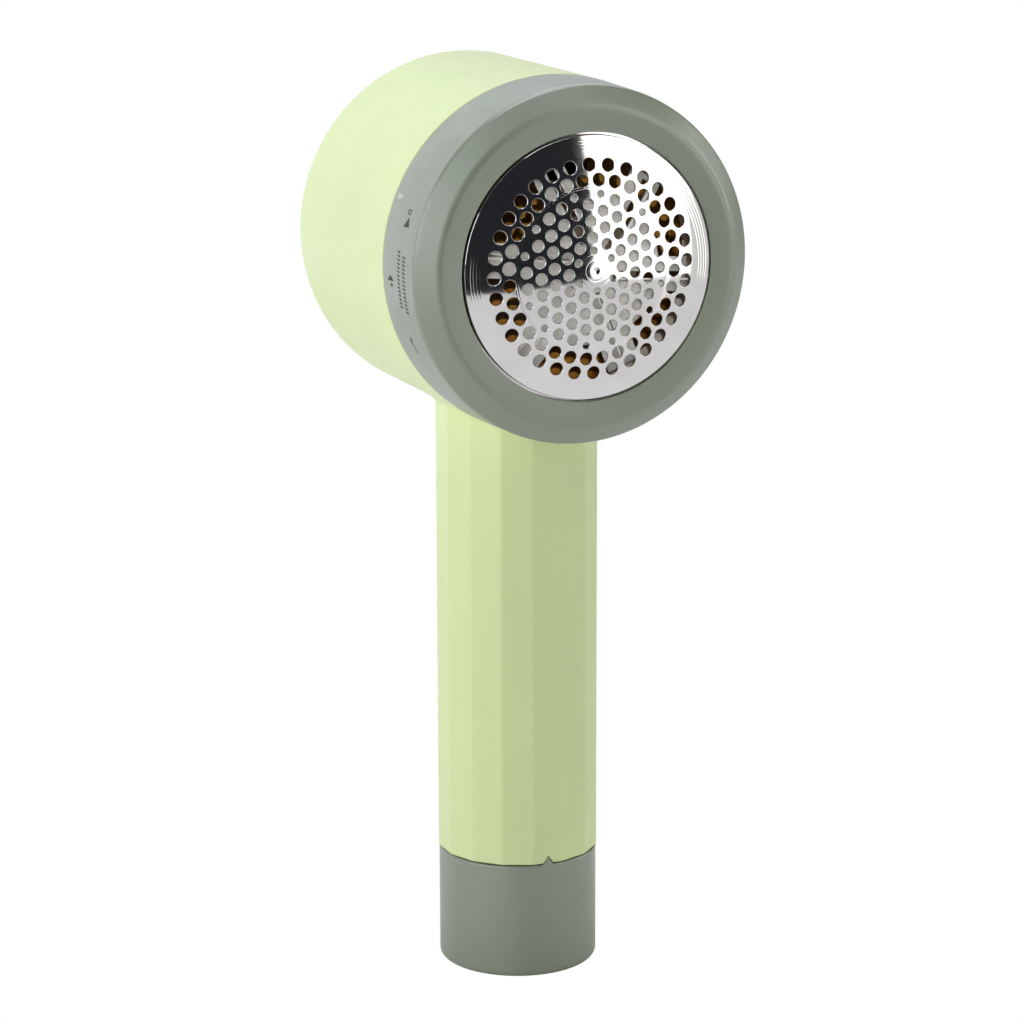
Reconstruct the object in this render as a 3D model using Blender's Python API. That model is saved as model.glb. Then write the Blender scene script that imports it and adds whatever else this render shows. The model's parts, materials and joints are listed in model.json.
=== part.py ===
"""Cordless fabric shaver: a drum head with a perforated foil on a sixteen-sided grip.

The origin is the centre of the base that the shaver stands on, +Z runs up the grip and
the foil faces -Y. Every size below is in millimetres, and MM turns it into metres.
"""

import math

import bmesh
import bpy
from mathutils import Matrix, Vector

MM = 0.001

# Head: distances are measured forward (towards -Y) from the axis of the grip.
HEAD_HEIGHT = 159.8
HEAD_RADIUS = 37.5
HEAD_BACK = -35.5
HEAD_BACK_FILLET = 5.2
SEAM = 18.95
SEAM_GAP = 0.15
WALL = 2.0
GAP = 0.3
HEAD_SEGMENTS = 40

# Foil and its opening in the collar.
OPENING_RADIUS = 27.5
FOIL_RADIUS = 27.0
FOIL_THICKNESS = 0.3
FOIL_CROWN = 41.8
FOIL_SPHERE = 100.0
FOIL_SEAT = 36.1
FOIL_FLANGE = 31.0
LATTICE_PITCH = 3.39
LATTICE_TURN = math.radians(35.1)
RING_HOLES = 32
RING_TURN = math.radians(1.4)
OUTER_RING = (21.4, 1.35)
SECOND_RING = (18.35, 1.32)
MEDIUM_HOLE = 1.15
SMALL_HOLE = 0.73
CENTRE_RING = 4.2

# Cutter: a domed plate with six arms. Each arm has a slot, and the strip bent up beside
# the slot is the cutting edge. The sides are offsets from the arm's own radial line.
ARMS = 6
ARM_TURN = math.radians(54.7)
ARM_SIDES = (-4.4, 2.8)
ARM_END = 22.6
BLADE_PLATE = 16.0
BLADE_THICKNESS = 0.5
BLADE_HEIGHT = 2.2
PLATE_CROWN = FOIL_CROWN - FOIL_THICKNESS - GAP - BLADE_HEIGHT
SLOT_SIDES = (-2.45, -0.25)
SLOT_ENDS = (5.2, 21.6)

# Motor and its mount.
MOUNT_BACK = 11.4
MOUNT_FRONT = 13.4
MOUNT_RIM = 31.6
MOTOR_RADIUS = 12.0
MOTOR_LENGTH = 22.6
SHAFT_RADIUS = 1.0
LUG_TURNS = [math.radians(a) for a in (90, 210, 330)]
BOSS_TURNS = [math.radians(a) for a in (60, 180, 300)]
BOSS_CIRCLE = 33.3

# Lint path.
DUCT_HALF_WIDTH = 9.0
DUCT_LOW = 15.0
DUCT_HIGH = 26.0
DUCT_WALL = 1.2
BIN_RADIUS = 29.2
BIN_FRONT = -19.1
SLEEVE_FRONT = -21.0

# Grip.
FACETS = 16
GRIP_RADIUS = 17.66
GRIP_BORE = 15.2
GRIP_BOTTOM = 25.76
NECK_SHOULDER = 118.0
CAP_RADIUS = 17.27
CAP_FILLET = 1.43
CAP_BORE = 15.3
CAP_FLOOR = 2.4
PLUG_RADIUS = 14.9
PLUG_BOTTOM = 9.5
PLUG_TOP = 39.7
PIP_HALF_WIDTH = 1.2
PIP_HEIGHT = 1.6

# Parts inside the grip.
CELL_RADIUS = 9.1
CELL_LENGTH = 65.0
CELL_BOTTOM = 47.3
CELL_Y = -4.2
BLOCK_BOTTOM = (40.0, 46.2)
BLOCK_TOP = (113.4, 117.6)
BOARD_Y = 6.4
BOARD_THICKNESS = 1.2
BUTTON_Z = 104.0
LED_Z = 88.0
SCREW_HOLE = 1.3


# ---------------------------------------------------------------- scene and materials

def clear_scene():
    for old in list(bpy.data.objects):
        bpy.data.objects.remove(old, do_unlink=True)


def linear(channel):
    value = channel / 255
    return value / 12.92 if value <= 0.04045 else ((value + 0.055) / 1.055) ** 2.4


def finish(name, colour, roughness, metallic=0.0):
    """A plain material; colour is 0-255 sRGB."""
    made = bpy.data.materials.new(name)
    made.use_nodes = True
    shader = made.node_tree.nodes["Principled BSDF"]
    shader.inputs["Base Color"].default_value = (*(linear(c) for c in colour), 1.0)
    shader.inputs["Roughness"].default_value = roughness
    shader.inputs["Metallic"].default_value = metallic
    return made


# ---------------------------------------------------------------- meshes

def turned(profile, segments=32):
    """Revolve the closed outline of (radius, height) points about Z. Where it meets the
    axis it ends in a flat disc, or in a point if the next ring is at another height."""
    bm = bmesh.new()
    rings = []
    for index, (radius, height) in enumerate(profile):
        flat = height in (profile[index - 1][1], profile[(index + 1) % len(profile)][1])
        if radius == 0:
            rings.append([] if flat else [bm.verts.new((0, 0, height * MM))])
            continue
        ring = []
        for step in range(segments):
            turn = 2 * math.pi * step / segments
            x, y = polar(radius, turn)
            ring.append(bm.verts.new((x * MM, y * MM, height * MM)))
        rings.append(ring)
    for index, ring in enumerate(rings):
        following = rings[(index + 1) % len(rings)]
        if not ring or not following:
            if ring or following:
                bm.faces.new(ring or following)
            continue
        if len(ring) == 1 and len(following) == 1:
            continue
        for step in range(segments):
            after = (step + 1) % segments
            corners = [ring[step % len(ring)], following[step % len(following)],
                       following[after % len(following)], ring[after % len(ring)]]
            bm.faces.new(list(dict.fromkeys(corners)))
    bmesh.ops.recalc_face_normals(bm, faces=bm.faces)
    return bm


def tube(outer, inner, low, high, segments=32):
    """A ring with a square section about Z."""
    return turned([(inner, low), (inner, high), (outer, high), (outer, low)], segments)


def rod(radius, low, high, segments=16):
    return turned([(0, high), (radius, high), (radius, low), (0, low)], segments)


def prism(outline, low, high):
    """Extrude a counter-clockwise (x, y) outline from low to high along Z."""
    bm = bmesh.new()
    base = [bm.verts.new((x * MM, y * MM, low * MM)) for x, y in outline]
    face = bm.faces.new(base)
    pushed = bmesh.ops.extrude_face_region(bm, geom=[face])
    raised = [item for item in pushed["geom"] if isinstance(item, bmesh.types.BMVert)]
    bmesh.ops.translate(bm, verts=raised, vec=(0, 0, (high - low) * MM))
    bmesh.ops.recalc_face_normals(bm, faces=bm.faces)
    return bm


def block(low, high):
    """A box between two corners."""
    bm = bmesh.new()
    size = [b - a for a, b in zip(low, high)]
    middle = [(a + b) / 2 for a, b in zip(low, high)]
    shift = Matrix.Translation(Vector(middle) * MM)
    stretch = Matrix.Diagonal((*(s * MM for s in size), 1))
    bmesh.ops.create_cube(bm, size=1.0, matrix=shift @ stretch)
    return bm


def moved(bm, x=0.0, y=0.0, z=0.0):
    bmesh.ops.translate(bm, verts=bm.verts, vec=Vector((x, y, z)) * MM)
    return bm


def along_y(bm):
    """Turn a shape made along +Z so that it lies along +Y."""
    bmesh.ops.rotate(bm, verts=bm.verts, matrix=Matrix.Rotation(-math.pi / 2, 3, "X"))
    return bm


def gathered(shapes):
    """Several separate shapes in one mesh, to cut with in one go."""
    whole = bmesh.new()
    for shape in shapes:
        scratch = bpy.data.meshes.new("scratch")
        shape.to_mesh(scratch)
        shape.free()
        whole.from_mesh(scratch)
        bpy.data.meshes.remove(scratch)
    return whole


def polar(radius, turn):
    return radius * math.cos(turn), radius * math.sin(turn)


def arc(centre, radius, start, end, steps):
    """Points on an arc, angles in degrees."""
    points = []
    for step in range(steps + 1):
        turn = math.radians(start + (end - start) * step / steps)
        points.append((centre[0] + radius * math.cos(turn), centre[1] + radius * math.sin(turn)))
    return points


def sector(inner, outer, turn, half_angle, steps=4):
    """Outline of a ring sector centred on an angle."""
    start = math.degrees(turn - half_angle)
    end = math.degrees(turn + half_angle)
    return arc((0, 0), outer, start, end, steps) + arc((0, 0), inner, end, start, steps)


# ---------------------------------------------------------------- objects

def place(name, bm, material, parent=None, smooth_angle=35):
    """Turn a bmesh into a named object, shaded smooth up to an angle."""
    mesh = bpy.data.meshes.new(name)
    bm.to_mesh(mesh)
    bm.free()
    mesh.shade_smooth()
    mesh.set_sharp_from_angle(angle=math.radians(smooth_angle))
    mesh.materials.append(material)
    made = bpy.data.objects.new(name, mesh)
    made.parent = parent
    bpy.context.collection.objects.link(made)
    return made


def shape_with(target, bm, operation, parent=None):
    """Boolean the target with a hidden tool."""
    count = len(target.modifiers) + 1
    mesh = bpy.data.meshes.new(f"{target.name}_tool_{count}")
    bm.to_mesh(mesh)
    bm.free()
    tool = bpy.data.objects.new(mesh.name, mesh)
    tool.parent = parent
    tool.hide_render = True
    tool.display_type = "WIRE"
    bpy.context.collection.objects.link(tool)
    step = target.modifiers.new(operation.lower(), "BOOLEAN")
    step.operation = operation
    step.solver = "EXACT"
    step.object = tool


def cut(target, bm, parent=None):
    shape_with(target, bm, "DIFFERENCE", parent)


def add(target, bm, parent=None):
    shape_with(target, bm, "UNION", parent)


def keep(target, bm, parent=None):
    shape_with(target, bm, "INTERSECT", parent)


def head_axis():
    """An empty whose +Z runs forward along the head and whose +Y points up."""
    axis = bpy.data.objects.new("head_axis", None)
    axis.location = (0, 0, HEAD_HEIGHT * MM)
    axis.rotation_euler = (math.pi / 2, 0, 0)
    bpy.context.collection.objects.link(axis)
    return axis


def screw(shank, start, tip):
    """A pan-head screw along Z, from the top of its head at start to its tip."""
    side = 1 if tip > start else -1
    head = start + side * 1.25 * shank
    recess = start + side * 0.6 * shank
    return turned([(0, tip), (shank, tip), (shank, head), (1.8 * shank, head),
                   (1.8 * shank, start + side * 0.5 * shank), (1.5 * shank, start), (0.6 * shank, start),
                   (0.6 * shank, recess), (0, recess)], 8)


# ---------------------------------------------------------------- casing

def grip_outline(radius):
    """Sixteen-sided outline with one flat facing straight forward (-Y)."""
    half = math.pi / FACETS
    return [polar(radius, half + 2 * math.pi * k / FACETS) for k in range(FACETS)]


def body_shell(head, green):
    """One moulding: the drum of the head and the faceted tube of the grip."""
    rear_arc = arc((HEAD_RADIUS - HEAD_BACK_FILLET, HEAD_BACK + HEAD_BACK_FILLET),
                   HEAD_BACK_FILLET, 0, -90, 5)
    front = SEAM - SEAM_GAP
    shell = place("body_shell", turned([(0, front), (HEAD_RADIUS, front)] + rear_arc + [(0, HEAD_BACK)],
                                       HEAD_SEGMENTS), green, head)
    add(shell, prism(grip_outline(GRIP_RADIUS), GRIP_BOTTOM + SEAM_GAP, HEAD_HEIGHT - 20))

    inner = HEAD_RADIUS - WALL
    sleeve = BIN_RADIUS + GAP
    back = HEAD_BACK + 2.2
    hollow = [(0, front + 1), (inner, front + 1), (inner, back + 2), (inner - 2, back),
              (sleeve + 1.5, back), (sleeve + 1.5, SLEEVE_FRONT), (sleeve, SLEEVE_FRONT),
              (sleeve, HEAD_BACK - 1), (0, HEAD_BACK - 1)]
    cut(shell, turned(hollow, HEAD_SEGMENTS), head)
    neck = [(0, HEAD_HEIGHT - 32), (12, HEAD_HEIGHT - 32), (12, NECK_SHOULDER),
            (GRIP_BORE, NECK_SHOULDER), (GRIP_BORE, GRIP_BOTTOM - 1), (0, GRIP_BOTTOM - 1)]
    cut(shell, turned(neck))
    for turn in BOSS_TURNS:
        x, y = polar(BOSS_CIRCLE, turn)
        add(shell, moved(rod(2.9, -4, MOUNT_BACK - GAP, 16), x, y), head)
    holes = [moved(rod(SCREW_HOLE, 2, MOUNT_BACK, 12), *polar(BOSS_CIRCLE, turn)) for turn in BOSS_TURNS]
    cut(shell, gathered(holes), head)
    cut(shell, moved(along_y(rod(7.8, 10, 20, 32)), 0, 0, BUTTON_Z))
    cut(shell, moved(along_y(rod(1.5, 10, 20, 16)), 0, 0, LED_Z))
    cut(shell, pip(GAP, GRIP_BOTTOM - 1, 13, 20))
    return shell


def pip(clearance, bottom, inner, outer):
    """The small triangle that keys the cap to the front of the grip."""
    half = PIP_HALF_WIDTH + clearance
    tip = GRIP_BOTTOM + PIP_HEIGHT + clearance
    foot = GRIP_BOTTOM - SEAM_GAP
    bm = prism([(-half, bottom), (half, bottom), (half, foot), (0, tip), (-half, foot)], inner, outer)
    bmesh.ops.rotate(bm, verts=bm.verts, matrix=Matrix.Rotation(math.pi / 2, 3, "X"))
    return bm


def collar(head, sage):
    """Lock ring round the foil, with three bayonet lugs on its skirt."""
    profile = [(HEAD_RADIUS, SEAM + SEAM_GAP), (37.1, 34.0), (36.95, 34.8), (36.4, 35.6),
               (32.85, 38.3), (27.9, 38.0), (OPENING_RADIUS, 37.7), (OPENING_RADIUS, FOIL_SEAT + GAP),
               (FOIL_FLANGE + GAP, FOIL_SEAT + GAP), (FOIL_FLANGE + GAP, 33.0), (35.2, 32.6),
               (35.2, 22.0), (33.6, 21.0), (33.6, 14.0), (35.2, 14.0), (35.2, SEAM + SEAM_GAP)]
    ring = place("collar", turned(profile[::-1], HEAD_SEGMENTS), sage, head)
    for turn in LUG_TURNS:
        add(ring, prism(sector(32.0, 34.4, turn, math.radians(9)), 14.4, 15.8), head)
    return ring


def foil_holes():
    """Centre and radius of every hole of the foil."""
    holes = []
    for k in range(6):
        holes.append((*polar(CENTRE_RING, LATTICE_TURN + math.pi * k / 3), SMALL_HOLE))
    for shell in range(2, 6):
        for side in range(6):
            corner = Vector(polar(shell * LATTICE_PITCH, LATTICE_TURN + math.pi * side / 3))
            step = Vector(polar(LATTICE_PITCH, LATTICE_TURN + math.pi * (side + 2) / 3))
            for k in range(1 if shell == 5 else 0, shell):
                small = shell == 5 and k in (1, 4)
                x, y = corner + step * k
                holes.append((x, y, SMALL_HOLE if small else MEDIUM_HOLE))
    for radius, hole, half_steps in ((*OUTER_RING, 0), (*SECOND_RING, 1)):
        for k in range(RING_HOLES):
            turn = RING_TURN + (k + half_steps / 2) * 2 * math.pi / RING_HOLES
            holes.append((*polar(radius, turn), hole))
    return holes


def foil(head, steel):
    """Domed perforated guard with a rim that the retainer clamps in the collar."""
    def crown(radius, top):
        return top - radius ** 2 / (2 * FOIL_SPHERE)

    radii = (0, 7.6, 16.8, 26.2)
    outside = [(r, crown(r, FOIL_CROWN)) for r in radii]
    inside = [(r, crown(r, FOIL_CROWN - FOIL_THICKNESS)) for r in reversed(radii)]
    skirt = FOIL_RADIUS - FOIL_THICKNESS
    rim = [(FOIL_RADIUS, 37.6), (FOIL_RADIUS, FOIL_SEAT), (FOIL_FLANGE, FOIL_SEAT),
           (FOIL_FLANGE, FOIL_SEAT - FOIL_THICKNESS), (skirt, FOIL_SEAT - FOIL_THICKNESS), (skirt, 37.4)]
    guard = place("foil", turned(outside + rim + inside, 24), steel, head)
    cutters = []
    for x, y, radius in foil_holes():
        cutters.append(moved(rod(radius, 37.5, FOIL_CROWN + 1, 6), x, y))
    cut(guard, gathered(cutters), head)


def foil_retainer(head, steel):
    """Ring behind the foil's flange, with a sleeve that lines the mouth of the chamber."""
    front = FOIL_SEAT - FOIL_THICKNESS - GAP
    profile = [(27.8, 24.0), (27.8, front), (FOIL_FLANGE, front), (FOIL_FLANGE, 34.2),
               (28.2, 34.2), (28.2, 24.0)]
    place("foil_retainer", turned(profile, HEAD_SEGMENTS), steel, head)


# ---------------------------------------------------------------- cutter

def blade_strip():
    """One upright cutting strip along +X, leaning over the slot that it was bent from."""
    foot = -BLADE_THICKNESS + 0.1
    section = [(-2.6, foot), (-2.2, foot), (-1.35, BLADE_HEIGHT), (-1.7, BLADE_HEIGHT)]
    bm = prism([(-height, side) for side, height in section], SLOT_ENDS[0] + 0.2, ARM_END - 0.2)
    bmesh.ops.rotate(bm, verts=bm.verts, matrix=Matrix.Rotation(math.pi / 2, 3, "Y"))
    return bm


def on_arms(make):
    """Six copies of a shape made along +X, one on each arm."""
    copies = []
    for arm in range(ARMS):
        bm = make()
        turn = Matrix.Rotation(ARM_TURN + 2 * math.pi * arm / ARMS, 3, "Z")
        bmesh.ops.rotate(bm, verts=bm.verts, matrix=turn)
        copies.append(bm)
    return gathered(copies)


def combined(bm, tools):
    """Boolean a mesh with (operation, mesh) tools at once, for a shape that is bent later."""
    solid = bpy.data.objects.new("solid", bpy.data.meshes.new("solid"))
    bm.to_mesh(solid.data)
    bpy.context.collection.objects.link(solid)
    for operation, tool_bm in tools:
        tool = bpy.data.objects.new("tool", bpy.data.meshes.new("tool"))
        tool_bm.to_mesh(tool.data)
        bpy.context.collection.objects.link(tool)
        step = solid.modifiers.new("boolean", "BOOLEAN")
        step.operation = operation
        step.solver = "EXACT"
        step.object = tool
        evaluated = solid.evaluated_get(bpy.context.evaluated_depsgraph_get())
        result = bpy.data.meshes.new_from_object(evaluated)
        solid.modifiers.clear()
        solid.data = result
        bpy.data.objects.remove(tool, do_unlink=True)
    whole = bmesh.new()
    whole.from_mesh(solid.data)
    bpy.data.objects.remove(solid, do_unlink=True)
    return whole


def domed(bm, crown):
    """Bend a flat mesh to the foil's sphere, after cutting it across the arms."""
    for arm in range(ARMS):
        across = Vector((*polar(1, ARM_TURN + 2 * math.pi * arm / ARMS), 0))
        for distance in (10.4, BLADE_PLATE):
            every = bm.verts[:] + bm.edges[:] + bm.faces[:]
            bmesh.ops.bisect_plane(bm, geom=every, plane_co=across * distance * MM, plane_no=across)
    bmesh.ops.triangulate(bm, faces=bm.faces)
    for vert in bm.verts:
        spread = (vert.co.x ** 2 + vert.co.y ** 2) / MM ** 2
        vert.co.z += (crown - spread / (2 * FOIL_SPHERE)) * MM
    return bm


def blade_disc(head, steel):
    """Six cutting arms on a plate, domed to run just behind the foil."""
    arm = ((10.0, ARM_SIDES[0], -BLADE_THICKNESS), (ARM_END, ARM_SIDES[1], 0))
    slot = ((SLOT_ENDS[0], SLOT_SIDES[0], -1), (SLOT_ENDS[1], SLOT_SIDES[1], 1))
    wheel = combined(rod(BLADE_PLATE, -BLADE_THICKNESS, 0, 36), [
        ("UNION", on_arms(lambda: block(*arm))),
        ("DIFFERENCE", on_arms(lambda: block(*slot))),
        ("UNION", on_arms(blade_strip))])
    place("blade_disc", domed(wheel, PLATE_CROWN), steel, head)


def blade_hub(head, dark):
    """Carrier of the cutter; its six-sided socket slides on the drive dog."""
    profile = [(0, 38.2), (3, 38.2), (11, 37.6), (11, 36.3), (5.8, 35.6), (5.8, 29.5), (0, 29.5)]
    hub = place("blade_hub", turned(profile, 32), dark, head)
    cut(hub, rod(3.6, 28.5, 36.9, 6), head)


def drive_dog(head, steel):
    """Six-sided driver pressed on the motor shaft, with a flange for the spring."""
    dog = place("drive_dog", rod(3.0, 20.5, 35.4, 6), steel, head, 20)
    add(dog, rod(6.2, 20.2, 21.8), head)
    cut(dog, rod(SHAFT_RADIUS + GAP, 19, 30.0, 16), head)


def blade_spring(head, steel):
    """Compression spring between the dog's flange and the hub."""
    coil_radius, wire, low, high, turns, per_turn = 4.75, 0.35, 22.3, 29.0, 5, 9
    bm = bmesh.new()
    sides = 5
    rings = []
    count = turns * per_turn
    for k in range(count + 1):
        turn = 2 * math.pi * k / per_turn
        height = low + (high - low) * k / count
        ring = []
        for side in range(sides):
            angle = 2 * math.pi * side / sides
            radius = coil_radius + wire * math.cos(angle)
            x, y = polar(radius, turn)
            ring.append(bm.verts.new((x * MM, y * MM, (height + wire * math.sin(angle)) * MM)))
        rings.append(ring)
    for ring, following in zip(rings, rings[1:]):
        for side in range(sides):
            after = (side + 1) % sides
            bm.faces.new([ring[side], ring[after], following[after], following[side]])
    bm.faces.new(rings[0])
    bm.faces.new(rings[-1])
    bmesh.ops.recalc_face_normals(bm, faces=bm.faces)
    place("blade_spring", bm, steel, head)


# ---------------------------------------------------------------- motor

def motor_mount(head, dark):
    """Bulkhead screwed into the drum: carries the motor and the collar's bayonet."""
    profile = [(0, MOUNT_FRONT), (30.0, MOUNT_FRONT), (30.0, 19.2), (MOUNT_RIM, 19.2),
               (MOUNT_RIM, MOUNT_FRONT), (35.2, MOUNT_FRONT), (35.2, MOUNT_BACK), (0, MOUNT_BACK)]
    mount = place("motor_mount", turned(profile, HEAD_SEGMENTS), dark, head)
    for turn in LUG_TURNS:
        add(mount, prism(sector(31.0, 33.2, turn, math.radians(9)), 16.1, 17.6), head)
    holes = [rod(4.2, 10, 15)]
    holes += [moved(rod(SCREW_HOLE, 10, 15, 12), *polar(BOSS_CIRCLE, turn)) for turn in BOSS_TURNS]
    holes += [moved(rod(SCREW_HOLE, 10, 15, 12), x) for x in (-8, 8)]
    holes.append(block((-DUCT_HALF_WIDTH, DUCT_LOW, 10), (DUCT_HALF_WIDTH, DUCT_HIGH, 15)))
    cut(mount, gathered(holes), head)
    sinks = [moved(rod(1.6, 12.1, 15, 12), *polar(BOSS_CIRCLE, turn)) for turn in BOSS_TURNS]
    cut(mount, gathered(sinks), head)


def motor(head, steel, dark, copper, magnet, brass):
    front = MOUNT_BACK - GAP
    back = front - MOTOR_LENGTH
    bore = MOTOR_RADIUS - 1
    profile = [(SHAFT_RADIUS + 0.5, front), (MOTOR_RADIUS, front), (MOTOR_RADIUS, back), (bore, back),
               (bore, front - 1), (SHAFT_RADIUS + 0.5, front - 1)]
    can = place("motor_can", turned(profile, 24), steel, head)
    cut(can, gathered([moved(rod(SCREW_HOLE, front - 3, front + 1, 12), x) for x in (-8, 8)]), head)

    cap = place("motor_end_cap", turned([(0, back - GAP), (MOTOR_RADIUS, back - GAP),
                                         (MOTOR_RADIUS, back - 2.2), (4, back - 2.2), (4, back - 3.4),
                                         (0, back - 3.4)], 24), dark, head)
    cut(cap, rod(SHAFT_RADIUS + 0.05, back - 2.5, back, 16), head)

    place("motor_shaft", rod(SHAFT_RADIUS, back - 2.2, 29.7, 16), steel, head)
    windings = tube(7.2, SHAFT_RADIUS + 0.01, back + 5, front - 6, 24)
    armature = place("motor_armature", windings, copper, head)
    slots = []
    for k in range(3):
        turn = 2 * math.pi * k / 3
        slots.append(prism(sector(5.6, 8.4, turn, math.radians(7), 2), back, front))
    cut(armature, gathered(slots), head)
    for number, turn in ((1, 0.0), (2, math.pi)):
        arc_magnet = prism(sector(7.6, bore - GAP, turn, math.radians(62), 8), back + 3, front - 4)
        place(f"motor_magnet_{number}", arc_magnet, magnet, head)
        x = 6.0 if number == 1 else -6.0
        tab = block((x - 1.1, -0.3, back - 5.6), (x + 1.1, 0.3, back - 2.5))
        place(f"motor_terminal_{number}", tab, brass, head)
        fixing = screw(1.0, MOUNT_FRONT + GAP + 1.25, front - 2.6)
        place(f"motor_screw_{number}", moved(fixing, 8.0 if number == 1 else -8.0), steel, head)


def mount_screws(head, steel):
    for number, turn in enumerate(BOSS_TURNS, 1):
        fixing = screw(0.8, MOUNT_FRONT - 0.1, 3)
        place(f"mount_screw_{number}", moved(fixing, *polar(BOSS_CIRCLE, turn)), steel, head)


def blade_chamber(head, amber):
    """Bowl behind the cutter that leads the lint up into the duct."""
    floor = MOUNT_FRONT + 2.0
    profile = [(6.8, floor + 1.2), (28.5, floor + 1.2), (28.5, 32.8), (29.7, 32.8), (29.7, floor),
               (6.8, floor)]
    chamber = place("blade_chamber", turned(profile, HEAD_SEGMENTS), amber, head)
    outlet = block((-DUCT_HALF_WIDTH, DUCT_LOW, floor - 1), (DUCT_HALF_WIDTH, DUCT_HIGH, floor + 2))
    holes = [outlet] + [moved(rod(2.5, floor - 1, floor + 2, 16), x) for x in (-8, 8)]
    cut(chamber, gathered(holes), head)


# ---------------------------------------------------------------- lint path

def lint_duct(head, dark):
    """Square tube over the motor, with the plate that closes the front of the bin."""
    front = MOUNT_BACK - GAP
    plate_front, plate_back = -17.5, -18.7
    duct = place("lint_duct", tube(28.6, 8.0, plate_back, plate_front), dark, head)
    outer = (DUCT_HALF_WIDTH + DUCT_WALL, DUCT_HIGH + DUCT_WALL)
    add(duct, block((-outer[0], DUCT_LOW - DUCT_WALL, plate_front - 0.6), (outer[0], outer[1], front)), head)
    cut(duct, block((-DUCT_HALF_WIDTH, DUCT_LOW, -25), (DUCT_HALF_WIDTH, DUCT_HIGH, 20)), head)


def lint_bin(head, green):
    """Cup that pulls out of the back of the drum by a bar across its well."""
    well, depth = 15.0, 6.5
    inner = BIN_RADIUS - 1.4
    back = HEAD_BACK
    profile = [(0, back + depth + 2), (well + 2, back + depth + 2), (well + 2, back + 2.2),
               (inner, back + 2.2), (inner, BIN_FRONT), (BIN_RADIUS, BIN_FRONT), (BIN_RADIUS, -23.0),
               (28.3, -23.0), (28.3, -24.6), (BIN_RADIUS, -24.6), (BIN_RADIUS, back + 0.6),
               (BIN_RADIUS - 0.6, back), (well, back), (well, back + depth), (0, back + depth)]
    cup = place("lint_bin", turned(profile, HEAD_SEGMENTS), green, head)
    add(cup, block((-well - 0.6, -2.2, back + 0.5), (well + 0.6, 2.2, back + depth + 0.6)), head)


def o_ring(name, ring_radius, section, height, segments, material, parent=None):
    profile = arc((ring_radius, height), section, 0, -360, 5)[:-1]
    place(name, turned(profile, segments), material, parent)


# ---------------------------------------------------------------- grip

def bottom_cap(sage):
    """Cap over the charging socket; the shaver stands on it."""
    top = GRIP_BOTTOM - SEAM_GAP
    foot = arc((CAP_RADIUS - CAP_FILLET, CAP_FILLET), CAP_FILLET, 0, -90, 4)
    profile = [(CAP_BORE, top), (CAP_RADIUS - 0.3, top), (CAP_RADIUS, top - 0.4)] + foot
    profile += [(0, 0), (0, CAP_FLOOR), (CAP_BORE, CAP_FLOOR)]
    cap = place("bottom_cap", turned(profile, HEAD_SEGMENTS), sage)
    add(cap, pip(0, GRIP_BOTTOM - 2, CAP_BORE + 0.5, CAP_RADIUS - 0.1))


def end_plug(dark):
    """Cup that closes the grip, holds the charging socket and seats the cap."""
    wall = 1.8
    floor = PLUG_BOTTOM + 3
    profile = [(0, floor), (PLUG_RADIUS - wall - 1.4, floor), (PLUG_RADIUS - wall - 1.4, 24.0),
               (PLUG_RADIUS - wall, 25.4), (PLUG_RADIUS - wall, PLUG_TOP), (PLUG_RADIUS, PLUG_TOP),
               (PLUG_RADIUS, 20.9), (13.6, 20.9), (13.6, 19.1), (PLUG_RADIUS, 19.1),
               (PLUG_RADIUS, PLUG_BOTTOM + 0.6), (PLUG_RADIUS - 0.6, PLUG_BOTTOM), (0, PLUG_BOTTOM)]
    plug = place("end_plug", turned(profile), dark)
    for side in (-1, 1):
        add(plug, moved(rod(3.1, floor - 1, PLUG_TOP - 0.4, 16), side * 8.2))
    cut(plug, gathered([moved(rod(2.2, PLUG_BOTTOM - 1, 34.0, 16), side * 8.2) for side in (-1, 1)]))
    cut(plug, gathered([moved(rod(SCREW_HOLE, 33.5, PLUG_TOP + 1, 12), side * 8.2) for side in (-1, 1)]))
    cut(plug, block((-4.8, -1.95, PLUG_BOTTOM - 1), (4.8, 1.95, floor + 1)))


def end_screws(steel):
    for number, side in ((1, -1), (2, 1)):
        place(f"end_screw_{number}", moved(screw(1.0, 32.4, 44.5), side * 8.2), steel)


def charging_socket(steel, dark, board):
    """USB-C socket on its small board, opening downwards."""
    low, high = PLUG_BOTTOM + 0.3, 17.2

    def outline(half_width, half_height):
        centre = half_width - half_height
        return arc((centre, 0), half_height, -90, 90, 6) + arc((-centre, 0), half_height, 90, 270, 6)

    socket = place("usb_socket", prism(outline(4.5, 1.65), low, high), steel)
    cut(socket, prism(outline(4.2, 1.35), low - 1, high - 0.8))
    place("usb_tongue", block((-3.3, -0.35, low + 1.0), (3.3, 0.35, high - 1.1)), dark)
    place("charge_board", block((-5.0, 1.95, PLUG_BOTTOM + 3.3), (5.0, 2.95, 30.0)), board)


def chassis(dark):
    """Cradle for the cell; its end blocks take the board's and the plug's screws."""
    inner, outer = CELL_RADIUS + 0.4, CELL_RADIUS + 1.6
    board_seat = BOARD_Y - GAP
    low, high = BLOCK_BOTTOM[0], BLOCK_TOP[1]
    trough = arc((0, CELL_Y), outer, 180, 360, 14) + [(outer, board_seat), (-outer, board_seat)]
    frame = place("chassis", prism(trough, low, high), dark)
    pocket = arc((0, CELL_Y), inner, 180, 360, 14) + [(inner, board_seat + 1), (-inner, board_seat + 1)]
    cut(frame, prism(pocket, BLOCK_BOTTOM[1], BLOCK_TOP[0]))
    hollows = [moved(rod(SCREW_HOLE, low - 1, 45.2, 12), side * 8.2) for side in (-1, 1)]
    hollows += [moved(along_y(rod(SCREW_HOLE, 0, 9, 12)), 0, 0, z) for z in (43.0, 115.4)]
    cut(frame, gathered(hollows))


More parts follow.
